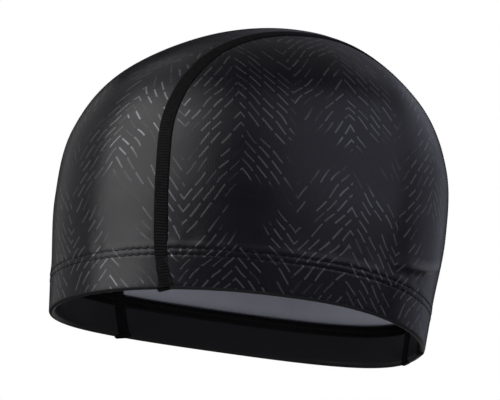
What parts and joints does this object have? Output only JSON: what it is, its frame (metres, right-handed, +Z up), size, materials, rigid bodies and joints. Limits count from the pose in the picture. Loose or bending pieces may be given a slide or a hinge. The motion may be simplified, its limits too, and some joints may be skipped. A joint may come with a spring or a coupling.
{
  "type": "swim cap",
  "caption": "Close-fitting fabric swim cap in its worn form: a centre panel and two side panels of dark coated stretch cloth, with flat covered seams and a turned-up hem.",
  "frame": {"origin": "middle of the head opening, level with the cap's edge", "axes": "+Z up through the crown, +Y towards the nape, +X towards the wearer's left ear"},
  "size_m": [0.1562, 0.1963, 0.159],
  "materials": {
    "coated_cloth": "semi-gloss polyurethane-coated polyester knit, near black, with a tone-on-tone print",
    "seam_thread": "matt black cover-stitched thread"
  },
  "bodies": {
    "root": {"centre_panel": "coated_cloth", "side_panel_left": "coated_cloth", "side_panel_right": "coated_cloth", "seam_left": "seam_thread", "seam_right": "seam_thread"}
  },
  "joints": []
}
